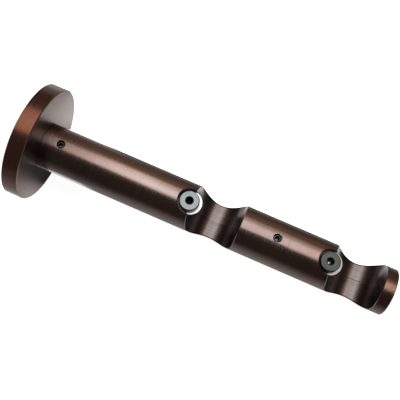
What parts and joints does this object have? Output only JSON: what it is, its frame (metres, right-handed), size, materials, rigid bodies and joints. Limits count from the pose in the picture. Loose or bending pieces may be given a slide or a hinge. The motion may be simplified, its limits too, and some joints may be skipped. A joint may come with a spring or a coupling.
{
  "type": "curtain pole bracket",
  "caption": "Wall bracket for parallel curtain poles: a round stem on a flat wall rose, cut across by round-bottomed pole seats with a clamp screw and washer beside each.",
  "frame": {"origin": "centre of the wall face of the rose and wall plate, on the stem's axis", "axes": "the stem runs out from the wall along -Y, +Y points into the wall, the poles lie along X, the pole seats open towards +Z"},
  "size_m": [0.05, 0.163, 0.05],
  "materials": {
    "stem_bronze": "dark antique bronze over brass, fine turning lines, satin",
    "rose_bronze": "dark antique bronze over brass, satin",
    "plate_steel": "plain turned and flat steel, zinc plated",
    "screw_steel": "zinc plated",
    "dark_steel": "blackened",
    "clamp_steel": "nickel plated, fine turning rings, satin",
    "washer_steel": "bright plated"
  },
  "bodies": {
    "root": {"wall_plate": "plate_steel", "spigot": "plate_steel", "spigot_screw": "screw_steel", "rose_cover": "rose_bronze", "inner_stem": "stem_bronze", "outer_stem": "stem_bronze", "root_grub_screw": "dark_steel", "joint_grub_screw": "dark_steel", "inner_clamp_screw": "clamp_steel", "inner_clamp_washer": "washer_steel", "outer_clamp_screw": "clamp_steel", "outer_clamp_washer": "washer_steel"}
  },
  "joints": []
}
